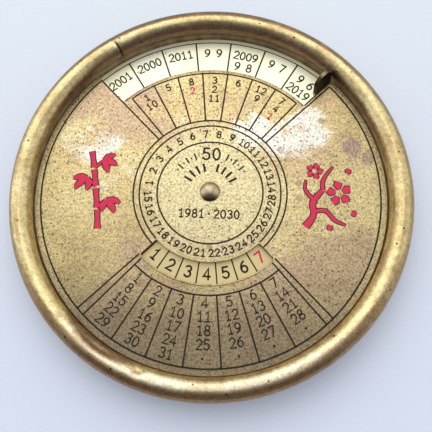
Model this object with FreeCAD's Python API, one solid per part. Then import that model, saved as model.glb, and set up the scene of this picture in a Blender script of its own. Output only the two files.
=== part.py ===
# Round brass perpetual desk calendar: a notched face plate turns about a centre rivet over a
# fixed dial, inside a stamped dish whose flange carries a ring of bent rod.
# Millimetres. Origin at the middle of the underside, +Z up, +Y towards the year window.

import FreeCAD
import Part
import math
import os

from FreeCAD import Vector

# Rim: a rod bent to a ring, with a butt seam
OUTER_DIA = 85.0            # over the ring
ROD_DIA = 4.76
ROD_SIDES = 14              # flats that stand for the rod's round section, one of them underneath
SEAM_GAP = 0.12             # between the rod's two ends
SEAM_ANGLE = 124.2          # counter-clockwise from +X
ROD_ABOVE_FACE = 1.9        # the rod's centre line over the face plate's top

# Dish
PAN_THICKNESS = 0.8
PAN_INNER_CORNER = 0.3      # inside radius where floor meets wall
FLANGE_INNER_CORNER = 0.25  # inside radius where wall meets flange, underneath
CORNER_STEPS = 2            # chords that stand for a quarter turn of a bend
FLANGE_OVER_ROD = 0.9       # from the rod's centre line out to the flange's edge
SOLDER_GAP = 0.05           # between the flange and the rod
PAN_CLEARANCE = 0.45        # round the two discs

# Discs
DISC_CLEARANCE = 0.04       # round both discs, where they pass down through the ring
DIAL_THICKNESS = 0.8
FACE_THICKNESS = 0.8
FACE_LIFT = 0.3             # from the dial's top to the face plate's underside

# Windows in the face plate
CELLS = 28                  # year cells round the dial
CELLS_SHOWN = 7
YEAR_WINDOW_DEPTH = 8.7     # in from the disc's edge
YEAR_WINDOW_CORNER = 0.4
DAY_WINDOW_INNER = 15.2     # radius
DAY_WINDOW_WIDTH = 4.6
DAY_WINDOW_CORNER = 0.45

# Finger tab, bent up from the year window's right edge
TAB_TO_EDGE = 0.5           # from the tab's outer side to the disc's edge
TAB_WIDTH = 4.7
TAB_LENGTH = 5.15           # beyond the bend
TAB_LEAN = 8.0              # degrees from upright, over the window
TAB_BEND_RADIUS = 0.35      # inside the bend

# Centre rivet and what it holds
SHANK_DIA = 2.4
HEAD_DIA = 4.3
HEAD_HEIGHT = 1.3
HEAD_LAND = 0.3             # straight edge of the head
HEAD_CLEARANCE = 0.02       # over the face plate
RUNNING_CLEARANCE = 0.03    # radial, shank in the face plate
FIT_CLEARANCE = 0.02        # radial, shank and pins in the parts that stand still
TAIL_DIA = 3.8
TAIL_HEIGHT = 0.5
RIVET_WASHER_DIA = 7.0
RIVET_WASHER_THICKNESS = 0.4
SPRING_DIA = 8.0
SPRING_THICKNESS = 0.15
SPRING_CLEARANCE = 0.02     # under the face plate
SPRING_BORE_CLEARANCE = 0.15

# Dowels that hold the dial still
PIN_DIA = 1.6
PIN_CIRCLE_DIA = 23.0
PIN_COUNT = 2
PIN_SINK = 0.05             # below the dial's top

# Felt
FELT_THICKNESS = 1.2
FELT_EDGE = 0.6             # inside the flat of the dish's floor
FELT_BEVEL = 0.3
FELT_HOLE_CLEARANCE = 0.8   # round the rivet's washer

# Levels, from the table up
FLOOR_BOTTOM = FELT_THICKNESS
FLOOR_TOP = FLOOR_BOTTOM + PAN_THICKNESS
DIAL_TOP = FLOOR_TOP + DIAL_THICKNESS
FACE_BOTTOM = DIAL_TOP + FACE_LIFT
FACE_TOP = FACE_BOTTOM + FACE_THICKNESS
ROD_LEVEL = FACE_TOP + ROD_ABOVE_FACE

# Radii and distances that follow
ROD_RADIUS = ROD_DIA / 2
ROD_FLAT = ROD_RADIUS * math.cos(math.pi / ROD_SIDES)
RING_RADIUS = OUTER_DIA / 2 - ROD_RADIUS
DISC_RADIUS = RING_RADIUS - ROD_RADIUS - DISC_CLEARANCE
YEAR_WINDOW_INNER = DISC_RADIUS - YEAR_WINDOW_DEPTH
TAB_INNER = DISC_RADIUS - TAB_TO_EDGE - TAB_WIDTH
PAN_INNER_RADIUS = DISC_RADIUS + PAN_CLEARANCE
PAN_OUTER_RADIUS = PAN_INNER_RADIUS + PAN_THICKNESS
PAN_OUTER_CORNER = PAN_INNER_CORNER + PAN_THICKNESS
FLANGE_RADIUS = RING_RADIUS + FLANGE_OVER_ROD
FLANGE_TOP = ROD_LEVEL - ROD_FLAT - SOLDER_GAP
FLANGE_OUTER_CORNER = FLANGE_INNER_CORNER + PAN_THICKNESS
SHANK_RADIUS = SHANK_DIA / 2
WINDOW_HALF_ANGLE = 180.0 * CELLS_SHOWN / CELLS
DAY_WINDOW_OUTER = DAY_WINDOW_INNER + DAY_WINDOW_WIDTH

Z_AXIS = Vector(0, 0, 1)
ORIGIN = Vector(0, 0, 0)
YEAR_SIDE = 90.0            # direction of the year window
DAY_SIDE = 270.0            # direction of the weekday window


def polar(radius, degrees, z=0.0):
    """A point at a radius and an angle about the centre."""
    angle = math.radians(degrees)
    return Vector(radius * math.cos(angle), radius * math.sin(angle), z)


def section(radius, z):
    """A point in the half plane that a turned shape is drawn in."""
    return Vector(radius, 0, z)


def bend(radius, z, bend_radius, first, last):
    """Points of a bend in that half plane, as chords from one direction to another about its centre."""
    points = []
    for step in range(CORNER_STEPS + 1):
        angle = math.radians(first + (last - first) * step / CORNER_STEPS)
        points.append(section(radius + bend_radius * math.cos(angle), z + bend_radius * math.sin(angle)))
    return points


def line(start, end):
    return Part.LineSegment(start, end).toShape()


def arc(start, middle, end):
    return Part.Arc(start, middle, end).toShape()


def turned(outline, degrees=360.0):
    """The solid that a closed outline sweeps about the centre."""
    return Part.Face(outline).revolve(ORIGIN, Z_AXIS, degrees)


def straight_sided(points):
    """A closed outline with a straight side from each point to the next."""
    return Part.makePolygon(points + points[:1])


def cylinder(radius, low, high, centre=ORIGIN):
    base = Vector(centre.x, centre.y, low)
    return Part.makeCylinder(radius, high - low, base, Z_AXIS)


def ring_window(inner, outer, middle, half_angle, low, high):
    """A block bounded by two arcs and two radial sides, to cut a curved window."""
    first = middle - half_angle
    last = middle + half_angle
    edges = [line(polar(inner, first, low), polar(outer, first, low)),
             arc(polar(outer, first, low), polar(outer, middle, low), polar(outer, last, low)),
             line(polar(outer, last, low), polar(inner, last, low)),
             arc(polar(inner, last, low), polar(inner, middle, low), polar(inner, first, low))]
    return Part.Face(Part.Wire(edges)).extrude(Vector(0, 0, high - low))


def upright_edges(shape):
    """The shape's straight edges that run along Z."""
    found = []
    for edge in shape.Edges:
        if len(edge.Vertexes) == 2 and isinstance(edge.Curve, Part.Line):
            if abs(edge.Curve.Direction.z) > 0.999:
                found.append(edge)
    return found


def rim_ring():
    """The rod, open at its seam by the width of the seam."""
    points = []
    for side in range(ROD_SIDES):
        angle = 2 * math.pi * side / ROD_SIDES
        points.append(section(RING_RADIUS + ROD_RADIUS * math.cos(angle),
                              ROD_LEVEL + ROD_RADIUS * math.sin(angle)))
    seam_turn = math.degrees(SEAM_GAP / RING_RADIUS)
    ring = turned(straight_sided(points), 360.0 - seam_turn)
    ring.rotate(ORIGIN, Z_AXIS, SEAM_ANGLE + seam_turn / 2)
    return ring


def base_pan():
    """The stamped dish: floor, bent-up wall and a flat flange that the rod lies on."""
    hole = SHANK_RADIUS + FIT_CLEARANCE
    floor_bend = PAN_OUTER_RADIUS - PAN_OUTER_CORNER
    flange_bend = PAN_INNER_RADIUS + FLANGE_OUTER_CORNER
    flange_bend_level = FLANGE_TOP - FLANGE_OUTER_CORNER
    points = [section(hole, FLOOR_BOTTOM)]
    points += bend(floor_bend, FLOOR_BOTTOM + PAN_OUTER_CORNER, PAN_OUTER_CORNER, -90.0, 0.0)
    points += bend(flange_bend, flange_bend_level, FLANGE_INNER_CORNER, 180.0, 90.0)
    points += [section(FLANGE_RADIUS, FLANGE_TOP - PAN_THICKNESS),
               section(FLANGE_RADIUS, FLANGE_TOP)]
    points += bend(flange_bend, flange_bend_level, FLANGE_OUTER_CORNER, 90.0, 180.0)
    points += bend(floor_bend, FLOOR_BOTTOM + PAN_OUTER_CORNER, PAN_INNER_CORNER, 0.0, -90.0)
    points += [section(hole, FLOOR_TOP)]
    pan = turned(straight_sided(points))
    for place in pin_places():
        pan = pan.cut(cylinder(PIN_DIA / 2 + FIT_CLEARANCE, FLOOR_BOTTOM, FLOOR_TOP, place))
    return pan


def pin_places():
    return [polar(PIN_CIRCLE_DIA / 2, 360.0 * index / PIN_COUNT) for index in range(PIN_COUNT)]


def dial_pins():
    """Dowels riveted through the floor, just short of the dial's top."""
    return [cylinder(PIN_DIA / 2, FLOOR_BOTTOM, DIAL_TOP - PIN_SINK, place) for place in pin_places()]


def year_dial():
    """The disc that carries the years and the weekdays, and stands still."""
    dial = cylinder(DISC_RADIUS, FLOOR_TOP, DIAL_TOP)
    dial = dial.cut(cylinder(SHANK_RADIUS + FIT_CLEARANCE, FLOOR_TOP, DIAL_TOP))
    for place in pin_places():
        dial = dial.cut(cylinder(PIN_DIA / 2 + FIT_CLEARANCE, FLOOR_TOP, DIAL_TOP, place))
    return dial


def finger_tab():
    """Sheet that leaves the window's edge level, bends up and ends in a rounded tip."""
    inside = TAB_BEND_RADIUS
    outside = TAB_BEND_RADIUS + FACE_THICKNESS
    turn = 90.0 - TAB_LEAN
    straight = TAB_LENGTH - TAB_WIDTH / 2
    centre = Vector(0, 0, FACE_TOP + TAB_BEND_RADIUS)

    def bent(radius, degrees):
        angle = math.radians(degrees)
        return centre + Vector(0, radius * math.sin(angle), -radius * math.cos(angle))

    up = Vector(0, math.cos(math.radians(turn)), math.sin(math.radians(turn)))
    low_in = bent(inside, 0)
    low_out = bent(outside, 0)
    root = Vector(0, -FACE_THICKNESS, 0)
    high_in = bent(inside, turn)
    high_out = bent(outside, turn)
    side = Part.Face(Part.Wire([
        line(low_out + root, low_out),
        arc(low_out, bent(outside, turn / 2), high_out),
        line(high_out, high_out + up * TAB_LENGTH),
        line(high_out + up * TAB_LENGTH, high_in + up * TAB_LENGTH),
        line(high_in + up * TAB_LENGTH, high_in),
        arc(high_in, bent(inside, turn / 2), low_in),
        line(low_in, low_in + root),
        line(low_in + root, low_out + root)]))
    strip = side.extrude(Vector(TAB_WIDTH, 0, 0))

    through = Vector(0, math.sin(math.radians(turn)), -math.cos(math.radians(turn)))
    tip_centre = (high_in + high_out) * 0.5 + up * straight + Vector(TAB_WIDTH / 2, 0, 0)
    tip = Part.makeCylinder(TAB_WIDTH / 2, 2 * outside, tip_centre - through * outside, through)
    reach = straight + outside
    body = Part.makeBox(TAB_WIDTH, 2 * outside + TAB_LENGTH, reach + FACE_THICKNESS + outside)
    body.translate(Vector(0, -outside, -FACE_THICKNESS - outside))
    body.rotate(ORIGIN, Vector(1, 0, 0), -TAB_LEAN)
    body.translate(tip_centre - Vector(TAB_WIDTH / 2, 0, 0) - up * reach)
    rounded = strip.common(body.fuse(tip))
    rounded.translate(Vector(TAB_INNER, 0, 0))
    rounded.rotate(ORIGIN, Z_AXIS, YEAR_SIDE - WINDOW_HALF_ANGLE)
    return rounded


def face_plate():
    """The engraved disc: year window open to its edge, weekday window, shank hole and finger tab."""
    plate = cylinder(DISC_RADIUS, FACE_BOTTOM, FACE_TOP)
    plate = plate.cut(cylinder(SHANK_RADIUS + RUNNING_CLEARANCE, FACE_BOTTOM, FACE_TOP))
    beyond = DISC_RADIUS + PAN_CLEARANCE
    year_window = ring_window(YEAR_WINDOW_INNER, beyond, YEAR_SIDE, WINDOW_HALF_ANGLE, FACE_BOTTOM, FACE_TOP)
    plate = plate.cut(year_window)
    day_window = ring_window(DAY_WINDOW_INNER, DAY_WINDOW_OUTER, DAY_SIDE, WINDOW_HALF_ANGLE,
                             FACE_BOTTOM, FACE_TOP)
    day_window = day_window.makeFillet(DAY_WINDOW_CORNER, upright_edges(day_window))
    plate = plate.cut(day_window)
    inner_corners = []
    for edge in upright_edges(plate):
        middle = edge.CenterOfMass
        if abs(math.hypot(middle.x, middle.y) - YEAR_WINDOW_INNER) < YEAR_WINDOW_CORNER:
            inner_corners.append(edge)
    plate = plate.makeFillet(YEAR_WINDOW_CORNER, inner_corners)
    return plate.fuse(finger_tab()).removeSplitter()


def dome(edge, top):
    """The arc of a ball from a point on its edge to its top, or bottom, on the axis."""
    rise = top - edge.z
    ball = (edge.x ** 2 + rise ** 2) / (2 * abs(rise))
    half = math.asin(edge.x / ball) / 2
    middle = section(ball * math.sin(half), top - math.copysign(ball * (1 - math.cos(half)), rise))
    return arc(edge, middle, section(0, top))


def centre_rivet():
    """Domed head, shank and the tail peened over its washer."""
    head_bottom = FACE_TOP + HEAD_CLEARANCE
    land_top = head_bottom + HEAD_LAND
    head_top = head_bottom + HEAD_HEIGHT
    tail_top = FLOOR_BOTTOM - RIVET_WASHER_THICKNESS
    tail_bottom = tail_top - TAIL_HEIGHT
    edge_top = section(HEAD_DIA / 2, land_top)
    edge_low = section(HEAD_DIA / 2, head_bottom)
    neck = section(SHANK_RADIUS, head_bottom)
    shank_low = section(SHANK_RADIUS, tail_top)
    tail_edge = section(TAIL_DIA / 2, tail_top)
    tail_flat = section(TAIL_DIA / 2 - TAIL_HEIGHT, tail_bottom)
    edges = [dome(edge_top, head_top)]
    corners = [edge_top, edge_low, neck, shank_low, tail_edge, tail_flat,
               section(0, tail_bottom), section(0, head_top)]
    for start, end in zip(corners, corners[1:]):
        edges.append(line(start, end))
    return turned(Part.Wire(edges))


def spring_washer():
    """A dished ring: its outer edge stands on the dial, its inner edge reaches up to the face plate."""
    bore = SHANK_RADIUS + SPRING_BORE_CLEARANCE
    outside = SPRING_DIA / 2
    top = FACE_BOTTOM - SPRING_CLEARANCE
    return turned(straight_sided([section(bore, top - SPRING_THICKNESS),
                                  section(outside, DIAL_TOP),
                                  section(outside, DIAL_TOP + SPRING_THICKNESS),
                                  section(bore, top)]))


def rivet_washer():
    """The washer that the tail is peened against, under the floor."""
    bottom = FLOOR_BOTTOM - RIVET_WASHER_THICKNESS
    washer = cylinder(RIVET_WASHER_DIA / 2, bottom, FLOOR_BOTTOM)
    return washer.cut(cylinder(SHANK_RADIUS + FIT_CLEARANCE, bottom, FLOOR_BOTTOM))


def felt_pad():
    """The pad under the floor, bevelled at the table, with a hole round the rivet's tail."""
    edge = PAN_OUTER_RADIUS - PAN_OUTER_CORNER - FELT_EDGE
    hole = RIVET_WASHER_DIA / 2 + FELT_HOLE_CLEARANCE
    return turned(straight_sided([section(hole, 0),
                                  section(edge - FELT_BEVEL, 0),
                                  section(edge, FELT_BEVEL),
                                  section(edge, FELT_THICKNESS),
                                  section(hole, FELT_THICKNESS)]))


def write(name, shape):
    """One file for each node. A node of several solids becomes one compound."""
    solids = shape if isinstance(shape, list) else shape.Solids
    whole = solids[0] if len(solids) == 1 else Part.makeCompound(solids)
    whole.exportStep("parts/" + name + ".step")
    print(name, len(whole.Solids), "solid", round(whole.Volume, 2), "mm3", whole.isValid())


os.makedirs("parts", exist_ok=True)
write("rim_ring", rim_ring())
write("base_pan", base_pan())
write("dial_pins", dial_pins())
write("year_dial", year_dial())
write("face_plate", face_plate())
write("centre_rivet", centre_rivet())
write("spring_washer", spring_washer())
write("rivet_washer", rivet_washer())
write("felt_pad", felt_pad())
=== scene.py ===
# Dressed model of a round brass perpetual desk calendar. Lengths are in millimetres until they
# become mesh points, and angles are in degrees, counter-clockwise from +X seen from above.

import bpy
import math
from collections import namedtuple
from mathutils import Matrix, Vector, noise


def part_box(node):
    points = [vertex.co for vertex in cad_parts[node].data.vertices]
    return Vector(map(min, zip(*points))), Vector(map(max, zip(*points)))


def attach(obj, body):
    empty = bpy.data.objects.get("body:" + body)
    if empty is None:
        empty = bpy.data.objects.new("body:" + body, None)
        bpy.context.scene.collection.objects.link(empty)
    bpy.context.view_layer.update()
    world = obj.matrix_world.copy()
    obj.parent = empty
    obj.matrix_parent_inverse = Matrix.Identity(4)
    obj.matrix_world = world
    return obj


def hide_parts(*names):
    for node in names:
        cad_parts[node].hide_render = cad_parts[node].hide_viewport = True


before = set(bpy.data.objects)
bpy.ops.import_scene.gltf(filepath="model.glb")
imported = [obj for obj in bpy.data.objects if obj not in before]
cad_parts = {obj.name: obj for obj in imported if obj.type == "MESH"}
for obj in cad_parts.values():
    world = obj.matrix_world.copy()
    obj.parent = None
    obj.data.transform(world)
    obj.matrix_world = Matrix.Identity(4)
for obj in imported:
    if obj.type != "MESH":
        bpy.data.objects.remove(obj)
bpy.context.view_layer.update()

MM = 0.001  # one millimetre in scene units
FULL_TURN = 360.0
TOP_OF_PAGE = 90.0  # direction of the year window
FOOT_OF_PAGE = 270.0  # direction of the dates

# Levels and radii, from the frame where it has them
DIAL_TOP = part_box("year_dial")[1].z / MM
FELT_LOW, FELT_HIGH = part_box("felt_pad")
PAN_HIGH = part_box("base_pan")[1]
FACE_OVER_DIAL = 1.1  # gap under the face plate and its thickness
FACE_TOP = DIAL_TOP + FACE_OVER_DIAL
OUTER_RADIUS = 42.5
ROD_RADIUS = 2.38
ROD_OVER_FACE = 1.9  # from the face's top to the rod's centre line
RIM_RADIUS = OUTER_RADIUS - ROD_RADIUS
ROD_LEVEL = FACE_TOP + ROD_OVER_FACE

# Engraving on the face plate: radii, directions and line width
INNER_CIRCLE = 11.36
NUMBER_CIRCLE = 15.2  # also the weekday window's inner edge
FIELD_CIRCLE = 16.5
OUTER_CIRCLE = 36.4
MONTHS_OUTER = 28.2
DATES_INNER = 22.05
DAY_WINDOW_OUTER = 19.8
YEAR_WINDOW_INNER = 29.0
TOP_RIGHT = 45.0  # the four lines that bound the two plain fields
TOP_LEFT = 135.0
LOW_LEFT = 225.0
LOW_RIGHT = 315.0
MONTHS_SPREAD = 81.9  # all seven month columns together
DATES_SPREAD = 84.9  # all seven date columns together
WEEK = 7  # columns of the face, and cells that a window shows
LINE_WIDTH = 0.36

# Dial
CELLS = 28
CELL = FULL_TURN / CELLS
YEAR_CELLS_TURN = 1.2  # the printed cells sit a little round from the window's middle
DAY_CELLS_TURN = 0.3
YEAR_RING_OUTER = 36.8


def polar(radius, degrees, z=0.0):
    angle = math.radians(degrees)
    return Vector((radius * math.cos(angle), radius * math.sin(angle), z))


def mesh_piece(name, points, faces, material, body, smooth=False):
    """A piece from points in millimetres, which rides on a body of the frame."""
    mesh = bpy.data.meshes.new(name)
    mesh.from_pydata([Vector(point) * MM for point in points], [], faces)
    mesh.validate()
    mesh.update()
    piece = bpy.data.objects.new(name, mesh)
    bpy.context.scene.collection.objects.link(piece)
    piece.data.materials.append(material)
    if smooth:
        mesh.polygons.foreach_set("use_smooth", [True] * len(mesh.polygons))
    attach(piece, body)
    return piece


def ring_faces(rings, sides):
    """Faces between sections of the same number of points that follow each other round a closed ring."""
    faces = []
    for ring in range(rings):
        here = ring * sides
        there = (ring + 1) % rings * sides
        for side in range(sides):
            beside = (side + 1) % sides
            faces.append((here + side, there + side, there + beside, here + beside))
    return faces


# Ribbons: flat or domed strips of closed mesh, which draw every line, number and ornament

INLAY_PROUD = 0.012
INLAY_DEEP = 0.08
DOME_FULL_FROM = 0.5  # half width from which a strip has its whole dome
SHARPEST_CORNER = 0.55  # keeps a strip from growing too wide at a corner
CAP_REACH = 0.45  # a stroke's rounded end, in line widths
CAP_WIDTH = 0.5
ARC_STEP = 3.0


class Ribbons:
    """Collects strips for one piece."""

    def __init__(self, level=FACE_TOP, proud=INLAY_PROUD, deep=INLAY_DEEP, dome=0.0):
        self.points = []
        self.faces = []
        self.level = level
        self.proud = proud
        self.deep = deep
        self.dome = dome

    def section(self, centre, across, half):
        """Points round the strip at one place, from low left over the top to low right."""
        low = self.level - self.deep
        high = self.level + self.proud
        left = centre - across * half
        right = centre + across * half
        ring = [(left.x, left.y, low), (left.x, left.y, high)]
        if self.dome:
            ring.append((centre.x, centre.y, high + self.dome * min(1.0, half / DOME_FULL_FROM)))
        ring += [(right.x, right.y, high), (right.x, right.y, low)]
        return ring

    def strip(self, path, widths, closed=False):
        """A strip along points in the plane, with its full width at each."""
        count = len(path)
        first = len(self.points)
        for index, point in enumerate(path):
            before = path[index - 1] if index > 0 or closed else path[0]
            after = path[(index + 1) % count] if index < count - 1 or closed else path[-1]
            into = (point - before).normalized() if (point - before).length > 0 else None
            out = (after - point).normalized() if (after - point).length > 0 else None
            along = ((into or out) + (out or into)).normalized()
            across = Vector((along.y, -along.x))
            turn = (into or out).dot(out or into)
            miter = 1.0 / max(SHARPEST_CORNER, math.sqrt(max(0.0, (1.0 + turn) / 2)))
            self.points += self.section(point, across, widths[index] * miter / 2)
        size = (len(self.points) - first) // count
        for index in range(count if closed else count - 1):
            here = first + index * size
            there = first + (index + 1) % count * size
            for corner in range(size):
                beside = (corner + 1) % size
                self.faces.append((here + corner, here + beside, there + beside, there + corner))
        if not closed:
            self.faces.append(tuple(range(first + size - 1, first - 1, -1)))
            last = first + (count - 1) * size
            self.faces.append(tuple(range(last, last + size)))

    def stroke(self, path, width):
        """A line of one width with rounded ends."""
        start = (path[0] - path[1]).normalized() * width * CAP_REACH
        end = (path[-1] - path[-2]).normalized() * width * CAP_REACH
        cap = width * CAP_WIDTH
        self.strip([path[0] + start] + list(path) + [path[-1] + end], [cap] + [width] * len(path) + [cap])

    def circle(self, radius, first=0.0, last=FULL_TURN, width=LINE_WIDTH):
        """A circle or a part of one about the centre."""
        count = max(2, round(abs(last - first) / ARC_STEP))
        whole = abs(last - first) >= FULL_TURN
        angles = [first + (last - first) * index / count for index in range(count if whole else count + 1)]
        path = [polar(radius, angle).xy for angle in angles]
        self.strip(path, [width] * len(path), closed=whole)

    def spoke(self, inner, outer, angle, width=LINE_WIDTH):
        self.strip([polar(inner, angle).xy, polar(outer, angle).xy], [width, width])

    def piece(self, name, material, body, slot, smooth=False):
        return mesh_piece(name, self.points, self.faces, material, body, smooth)


# Numbers of one line width, drawn in a box 1 high


def bow(x, y, wide, high, first, last, steps):
    """Points along an ellipse from one direction to another."""
    points = []
    for step in range(steps + 1):
        angle = math.radians(first + (last - first) * step / steps)
        points.append((x + wide * math.cos(angle), y + high * math.sin(angle)))
    return points


GLYPH_WIDTH = 0.6


def glyph(sign):
    """The strokes of one sign, each a list of points and whether it closes on itself."""
    middle = GLYPH_WIDTH / 2

    def whole(y, wide, high):
        """A closed bow, from its top round to just short of it."""
        return bow(middle, y, wide, high, 90, 432, 15), True

    if sign == "9":
        return [([(GLYPH_WIDTH - x, 1.0 - y) for x, y in points], closed) for points, closed in glyph("6")]
    signs = {
        "0": [whole(0.5, 0.28, 0.5)],
        "1": [([(0.12, 0.78), (0.32, 1.0), (0.32, 0.0)], False), ([(0.12, 0.0), (0.52, 0.0)], False)],
        "2": [(bow(middle, 0.71, 0.27, 0.29, 165, -35, 8) + [(0.02, 0.0), (0.6, 0.0)], False)],
        "3": [(bow(0.28, 0.76, 0.25, 0.24, 150, -80, 8), False),
              (bow(0.28, 0.27, 0.29, 0.27, 85, -150, 9), False)],
        "4": [([(0.44, 0.0), (0.44, 1.0), (0.0, 0.28), (0.6, 0.28)], False)],
        "5": [([(0.54, 1.0), (0.1, 1.0), (0.06, 0.56)] + bow(0.28, 0.31, 0.29, 0.31, 115, -150, 9), False)],
        "6": [whole(0.3, 0.27, 0.3), (bow(0.62, 0.32, 0.58, 0.68, 178, 105, 6), False)],
        "7": [([(0.02, 1.0), (0.58, 1.0), (0.2, 0.0)], False)],
        "8": [whole(0.76, 0.22, 0.24), whole(0.26, 0.28, 0.26)],
        ".": [(bow(middle, 0.5, 0.05, 0.05, 90, 378, 4), True)]
    }
    return signs[sign]


# How signs are written: their height, their lines' width, and the gap between them in heights
Style = namedtuple("Style", "height line gap")
DATE_STYLE = Style(1.95, 0.3, 0.18)
MONTH_STYLE = Style(1.55, 0.32, 0.3)
RING_STYLE = Style(1.5, 0.33, 0.3)
SPAN_STYLE = Style(2.6, 0.44, 0.25)
RANGE_STYLE = Style(1.75, 0.33, 0.22)
RANGE_DOT_STYLE = Style(2.2, 0.3, 0.3)
OLD_YEAR_STYLE = Style(1.9, 0.33, 0.85)
NEW_YEAR_STYLE = Style(1.9, 0.33, 0.17)
WEEKDAY_STYLE = Style(2.3, 0.42, 0.3)


def write(ribbons, text, place, up, style):
    """Signs side by side, centred on a place, with a direction for their tops."""
    side = Vector((up.y, -up.x))
    advance = GLYPH_WIDTH + style.gap
    start = -(len(text) * advance - style.gap) / 2
    for index, sign in enumerate(text):
        for points, closed in glyph(sign):
            path = []
            for x, y in points:
                across = side * (start + index * advance + x) * style.height
                path.append(place + across + up * (y - 0.5) * style.height)
            if closed:
                ribbons.strip(path, [style.line] * len(path), closed=True)
            else:
                ribbons.stroke(path, style.line)


def write_round(ribbons, text, radius, angle, style, outward=True):
    """Signs centred at a radius and an angle, with their tops away from or towards the centre."""
    up = polar(1.0, angle).xy
    write(ribbons, text, polar(radius, angle).xy, up if outward else -up, style)


# Materials

SEAM = 124.2  # where the rim's two ends meet
HEAD_REACH = 2.15  # from the rivet's middle to its edge
TAB_DARK_FROM = 0.45  # over the face, where the finger tab's tarnish and painted light begin
SPOT_CORE = 0.6  # share of a spot's size that has its whole strength
RAMP_SPAN = 50.0  # the radius that a ramp's far end stands for

# A soft-edged place of wear, dirt, stain or bloom, the bloom with a painted highlight: its middle, how far it
# reaches and its strength in the middle
Patch = namedtuple("Patch", "x y reach strength")
# White bloom on the face, and a painted highlight of glare with it
BLOOM_AND_GLARE = (Patch(20.7, 13.8, 7.8, 1.9), Patch(8.0, 13.8, 6.6, 1.5), Patch(14.5, 12.0, 5.8, 1.5),
         Patch(-23.5, 10.5, 12.0, 0.75))
TARNISH = (Patch(-22.0, 20.0, 14.0, 1.5), Patch(24.5, 23.5, 5.0, 1.2), Patch(28.0, -15.0, 11.0, 1.0),
           Patch(-17.2, -13.0, 8.0, 1.6), Patch(30.0, 9.5, 5.0, 1.0))
FACE_STAINS = (Patch(30.7, 11.4, 3.0, 1.6), Patch(34.1, 9.0, 2.2, 1.6), Patch(24.0, 17.2, 1.2, 1.2),
               Patch(-7.5, -15.5, 1.6, 1.0), Patch(15.0, 10.0, 1.4, 0.9))
# Along the inner side of the rim at the lower left
RIM_STAINS = (Patch(-26.2, -28.4, 4.6, 1.5), Patch(-22.8, -31.2, 5.2, 1.5), Patch(-19.3, -33.5, 5.2, 1.5),
              Patch(-15.5, -35.4, 4.6, 1.5))

# Colours of the wear and the dirt, and of the painted light and shade
# White of the bloom and of its painted glare
BLOOM_AND_GLARE_WHITE = (0.97, 0.94, 0.84)
TARNISH_PINK = (0.53, 0.36, 0.26)
STAIN_VIOLET = (0.34, 0.235, 0.215)
STAIN_BROWN = (0.24, 0.15, 0.12)
# Rubbed gold round the middle, and painted light outside the outer circle
RUBBED_AND_LIT_GOLD = (0.80, 0.70, 0.41)
# Painted shade towards the foot of the page
FOOT_SHADE_BROWN = (0.275, 0.205, 0.14)
SPECK_BROWN = (0.17, 0.11, 0.06)
SPECK_BLACK = (0.10, 0.06, 0.035)
# Painted highlight on the tab's tip
TIP_HIGHLIGHT_BRASS = (0.42, 0.31, 0.2)
DIAL_GOLD = (0.64, 0.52, 0.25)
DIAL_SPECK = (0.25, 0.17, 0.08)
# Brown crust in the rim's corner, and painted dark reflection at the far side
CRUST_AND_REFLECTION_BROWN = (0.28, 0.165, 0.125)
RIM_STAIN = (0.34, 0.20, 0.15)
# Painted highlight along the near crest
CREST_HIGHLIGHT = (0.98, 0.93, 0.70)
UNDER_BROWN = (0.42, 0.28, 0.16)
FILM_BROWN = (0.46, 0.29, 0.14)
# Painted shade in the seam's slit
SEAM_SHADE_BLACK = (0.05, 0.03, 0.02)
# Dark specks on the rim
RIM_SPECK_BLACK = (0.07, 0.04, 0.025)
# Painted shade low on the rivet's head
HEAD_SHADE = (0.06, 0.04, 0.028)


class Nodes:
    """Adds the nodes of one tree. Where a source is asked for, a plain value can stand as well."""

    def __init__(self, tree):
        self.tree = tree

    def link(self, source, target):
        if isinstance(source, bpy.types.NodeSocket):
            self.tree.links.new(source, target)
        else:
            target.default_value = source

    def add(self, kind, sources=None, **settings):
        """The outputs of a new node. sources go into its sockets, by name or number."""
        made = self.tree.nodes.new(kind)
        for key, value in settings.items():
            setattr(made, key, value)
        for key, source in (sources or {}).items():
            self.link(source, made.inputs[key])
        return made.outputs

    def math(self, operation, *values):
        return self.add("ShaderNodeMath", dict(enumerate(values)), operation=operation)["Value"]

    def plus(self, first, second):
        return self.math("ADD", first, second)

    def minus(self, first, second):
        return self.math("SUBTRACT", first, second)

    def times(self, first, second):
        return self.math("MULTIPLY", first, second)

    def part(self, vector, axis):
        """A vector's X, Y or Z."""
        return self.add("ShaderNodeSeparateXYZ", {"Vector": vector})[axis]

    def ramp(self, factor, stops):
        """A value, or a colour, from stops of a place and a value or colour."""
        made = self.tree.nodes.new("ShaderNodeValToRGB")
        elements = made.color_ramp.elements
        for index, (place, value) in enumerate(stops):
            element = elements[index] if index < 2 else elements.new(place)
            element.position = place
            colour = value if isinstance(value, tuple) else (value, value, value)
            element.color = (*colour, 1.0)
        self.link(factor, made.inputs["Fac"])
        return made.outputs["Color"]


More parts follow.
